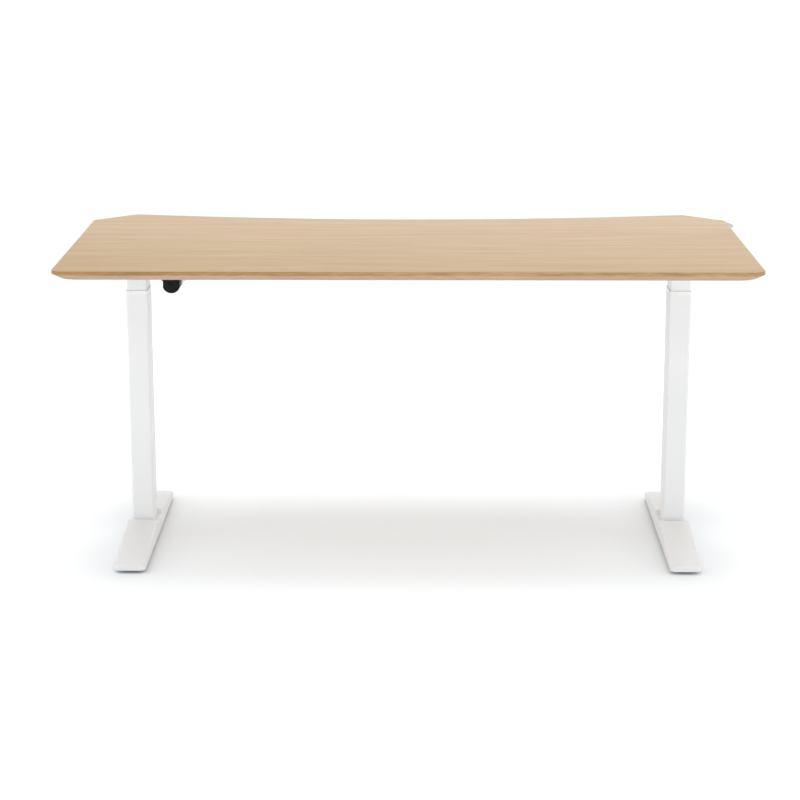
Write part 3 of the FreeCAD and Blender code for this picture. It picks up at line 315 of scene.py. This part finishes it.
def cap_moulding(name):
    """Dark plastic, blackest in the motor cap's outer rim, with painted shade near black in its centre
    dimple.
    """
    g = Graph(name)
    place = g.coords()
    x, _, z = g.split(place)[0:3]
    off_x = g.math("SUBTRACT", x, CAN_CENTRE.x)
    off_z = g.math("SUBTRACT", z, CAN_CENTRE.z)
    reach = g.math("SQRT", g.weigh((off_x, off_x), (off_z, off_z)))
    spark = g.noise(place, 1400.0, 2.0, 0.7)
    tint = g.mix(g.remap(reach, *RIM_EDGE), linear(22, 22, 24), linear(3, 3, 4))
    # Painted shade: the centre dimple near black, where the hole would be in shadow
    tint = g.mix(g.remap(reach, *DIMPLE_SHADE_EDGE), linear(2, 2, 2), tint)
    return g.finish(base_color=tint, roughness=g.remap(spark, 0.3, 0.7, 0.42, 0.56),
                    normal=g.bump(spark, 0.2, 0.0001), specular_ior_level=0.12)


def slot_materials():
    return {
        "oak_veneer": oak("oak_veneer"),
        "white_powder_coat": powder_coat("white_powder_coat"),
        "white_plastic": moulded("white_plastic", linear(243, 243, 243), 0.42, 900.0, 0.12),
        "cap_plastic": cap_moulding("cap_plastic"),
        "black_plastic": moulded("black_plastic", linear(38, 38, 40), 0.42),
        "glide_rubber": moulded("glide_rubber", linear(44, 44, 46), 0.7, 700.0, 0.4),
        "zinc_steel": metal("zinc_steel", linear(196, 198, 202), 0.32),
        "ground_steel": metal("ground_steel", linear(182, 184, 188), 0.28),
        "bronze": metal("bronze", linear(206, 164, 92), 0.3),
        "cast_housing": metal("cast_housing", linear(198, 199, 201), 0.55, (700.0, 700.0, 700.0)),
        "stator_core": metal("stator_core", linear(110, 110, 114), 0.5),
        "circuit_board": moulded("circuit_board", linear(24, 92, 52), 0.35, 500.0, 0.1),
        "grey_plastic": moulded("grey_plastic", linear(190, 192, 198), 0.45, 1200.0, 0.2),
        "display_glass": moulded("display_glass", linear(22, 22, 26), 0.16, 60.0, 0.02),
        "button_plastic": moulded("button_plastic", linear(92, 94, 100), 0.5, 1200.0, 0.2),
    }


def dress_nodes(materials):
    for entry in RECORD["subparts"]:
        node = NODES[entry["node"]]
        for slot in node.material_slots:
            slot.material = materials[entry["material_slot"]]


# ---------------------------------------------------------------- handset markings

# Strokes in units of half a sign's height: x to the reader's right, y up the face
KEY_SIGNS = {
    "button_up": [[(-0.9, -0.45), (0.0, 0.5), (0.9, -0.45)]],
    "button_down": [[(-0.9, 0.45), (0.0, -0.5), (0.9, 0.45)]],
    "button_memory_1": [[(-0.35, 0.6), (0.05, 1.0), (0.05, -1.0)]],
    "button_memory_2": [[(-0.6, 0.55), (-0.35, 0.92), (0.2, 1.0), (0.58, 0.6), (0.45, 0.1), (-0.62, -1.0),
                         (0.65, -1.0)]],
    "button_memory_3": [[(-0.6, 1.0), (0.58, 1.0), (0.0, 0.25), (0.45, 0.08), (0.62, -0.4), (0.3, -0.92),
                         (-0.3, -1.0), (-0.62, -0.68)]],
    "button_store": [[(-0.9, -0.2), (-0.9, -0.95), (0.9, -0.95), (0.9, -0.2)], [(0.0, 1.0), (0.0, -0.3)],
                     [(-0.45, 0.15), (0.0, -0.3), (0.45, 0.15)]],
}
KEY_SIGN_HALF = 0.0026
STROKE = 0.00038
STROKE_PROUD = 0.00005
SAME_HEIGHT = 0.00002
ROUND_STEPS = 8
DIGIT_HALF = 0.0044
DIGIT_STROKE = 0.00062
DIGIT_COUNT = 3
DIGIT_PITCH = 0.0105
SEGMENTS = [((-0.42, 1.0), (0.42, 1.0)), ((-0.42, 0.0), (0.42, 0.0)), ((-0.42, -1.0), (0.42, -1.0)),
            ((-0.55, 0.12), (-0.55, 0.88)), ((0.55, 0.12), (0.55, 0.88)),
            ((-0.55, -0.88), (-0.55, -0.12)), ((0.55, -0.88), (0.55, -0.12))]


def top_face_centre(name, normal):
    """The middle of a node's highest face along the normal."""
    node = NODES[name]
    points = [node.matrix_world @ v.co for v in node.data.vertices]
    highest = max(point.dot(normal) for point in points)
    top = [point for point in points if highest - point.dot(normal) < SAME_HEIGHT]
    low = Vector([min(p[i] for p in top) for i in range(3)])
    high = Vector([max(p[i] for p in top) for i in range(3)])
    return (low + high) / 2


def ribbon(shell, points, half_width):
    """One stroke of print: a flat strip with mitred corners and rounded ends, given a little thickness."""
    ways = [(end - start).normalized() for start, end in zip(points, points[1:])]
    left, right = [], []
    for i, point in enumerate(points):
        before, after = ways[max(i - 1, 0)], ways[min(i, len(ways) - 1)]
        side = square_to((before + after).normalized())
        reach = half_width / max(0.4, side.dot(square_to(after)))
        left.append(point + side * reach)
        right.append(point - side * reach)
    head = round_end(points[-1], ways[-1], half_width)
    tail = round_end(points[0], -ways[0], half_width)
    face = shell.faces.new([shell.verts.new(p) for p in right + head + left[::-1] + tail])
    raised = bmesh.ops.extrude_face_region(shell, geom=[face])
    lifted = [item for item in raised["geom"] if isinstance(item, bmesh.types.BMVert)]
    bmesh.ops.translate(shell, verts=lifted, vec=Vector((0.0, 0.0, 2 * STROKE_PROUD)))


def square_to(way):
    return Vector((-way.y, way.x, 0.0))


def round_end(point, ahead, half_width):
    """The corners of a half circle, from the right of the stroke to its left."""
    side = -square_to(ahead)
    turns = [math.pi * k / ROUND_STEPS for k in range(1, ROUND_STEPS)]
    return [point + (side * math.cos(t) + ahead * math.sin(t)) * half_width for t in turns]


def print_on(name, strokes, place, body, material, half_width):
    shell = bmesh.new()
    for stroke in strokes:
        ribbon(shell, stroke, half_width)
    bmesh.ops.recalc_face_normals(shell, faces=shell.faces)
    mesh = bpy.data.meshes.new(name)
    shell.to_mesh(mesh)
    shell.free()
    mesh.materials.append(material)
    made = bpy.data.objects.new(name, mesh)
    bpy.context.scene.collection.objects.link(made)
    made.matrix_world = place
    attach(made, body)


def face_directions():
    """The reader's right, up the face and out of it, for the handset's sloping face."""
    faces = [face for face in NODES["button_up"].data.polygons if face.normal.z > 0.5]
    normal = max(faces, key=lambda face: face.area).normal.normalized()
    up = (Vector((0.0, 0.0, 1.0)) - normal * normal.z).normalized()
    return up.cross(normal), up, normal


def make_markings(materials):
    """Printed signs on the keys and the unlit digits of the display."""
    right, up, normal = face_directions()
    turn = Matrix((right, up, normal)).transposed().to_4x4()

    def placed(centre):
        place = turn.copy()
        place.translation = centre - normal * STROKE_PROUD
        return place

    for node, strokes in KEY_SIGNS.items():
        signs = [[Vector((x, y, 0.0)) * KEY_SIGN_HALF for x, y in stroke] for stroke in strokes]
        print_on("print_" + node, signs, placed(top_face_centre(node, normal)), NODES[node]["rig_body"],
                 materials["white_plastic"], STROKE / 2)
    middle = top_face_centre("handset_display", normal)
    for index in range(DIGIT_COUNT):
        centre = middle + right * (index - (DIGIT_COUNT - 1) / 2) * DIGIT_PITCH
        bars = [[Vector((x, y, 0.0)) * DIGIT_HALF for x, y in bar] for bar in SEGMENTS]
        print_on(f"display_digit_{index + 1}", bars, placed(centre), NODES["handset_display"]["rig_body"],
                 materials["button_plastic"], DIGIT_STROKE / 2)


# ---------------------------------------------------------------- studio

def mesh_object(name, vertices, faces):
    mesh = bpy.data.meshes.new(name)
    mesh.from_pydata(vertices, [], faces)
    made = bpy.data.objects.new(name, mesh)
    bpy.context.scene.collection.objects.link(made)
    return made


def make_floor():
    half = FLOOR_SIZE / 2
    floor = mesh_object("studio_floor", [(-half, -half, 0), (half, -half, 0), (half, half, 0),
                                         (-half, half, 0)], [(0, 1, 2, 3)])
    g = Graph("studio_floor")
    cloud = g.noise(g.coords(), 0.8, 2.0)
    colour = g.mix(g.remap(cloud, 0.3, 0.7), (0.905, 0.935, 0.960), (0.925, 0.955, 0.980))
    floor.data.materials.append(g.finish(base_color=colour, roughness=0.9, specular_ior_level=0.0))


def light(name, kind):
    data = bpy.data.lights.new(name, kind)
    lamp = bpy.data.objects.new(name, data)
    bpy.context.scene.collection.objects.link(lamp)
    return lamp, data


def area_light(name, place, aim, width, depth, power):
    lamp, data = light(name, "AREA")
    data.shape = "RECTANGLE"
    data.size = width
    data.size_y = depth
    data.energy = power
    lamp.location = place
    lamp.rotation_mode = "QUATERNION"
    lamp.rotation_quaternion = (Vector(aim) - Vector(place)).to_track_quat("-Z", "Y")
    lamp.visible_camera = False


def sun_light(name, strength, angle, tilt):
    """A broad light from straight above, tilted so that its shadow moves towards -Y."""
    lamp, data = light(name, "SUN")
    data.energy = strength
    data.angle = math.radians(angle)
    lamp.rotation_euler = (math.radians(-tilt), 0.0, 0.0)


def make_world():
    """White all round near the horizon and a little dimmer overhead."""
    world = bpy.data.worlds.new("studio")
    world.use_nodes = True
    tree = world.node_tree
    place = tree.nodes.new("ShaderNodeTexCoord")
    parts = tree.nodes.new("ShaderNodeSeparateXYZ")
    level = tree.nodes.new("ShaderNodeMapRange")
    for key, number in (("From Min", HORIZON_RISE[0]), ("From Max", HORIZON_RISE[1]),
                        ("To Min", 1.0), ("To Max", WORLD_STRENGTH)):
        level.inputs[key].default_value = number
    back = tree.nodes["Background"]
    back.inputs["Color"].default_value = (1.0, 1.0, 1.0, 1.0)
    tree.links.new(place.outputs["Generated"], parts.inputs[0])
    tree.links.new(parts.outputs[2], level.inputs["Value"])
    tree.links.new(level.outputs[0], back.inputs["Strength"])
    bpy.context.scene.world = world


def make_studio():
    make_world()
    for sun in SUNS:
        sun_light(*sun)
    for panel in PANELS:
        area_light(*panel)
    bpy.context.scene.view_settings.view_transform = "Standard"
    bpy.context.scene.view_settings.look = "None"


def make_camera():
    data = bpy.data.cameras.new("camera")
    data.sensor_width = SENSOR
    data.lens = CAMERA_LENS
    data.clip_end = 200.0
    camera = bpy.data.objects.new("camera", data)
    bpy.context.scene.collection.objects.link(camera)
    camera.location = CAMERA_AT
    camera.rotation_euler = (math.pi / 2 - CAMERA_DOWN, 0.0, CAMERA_YAW)
    bpy.context.scene.camera = camera


make_camera()
make_studio()
make_floor()
materials = slot_materials()
dress_nodes(materials)
make_markings(materials)
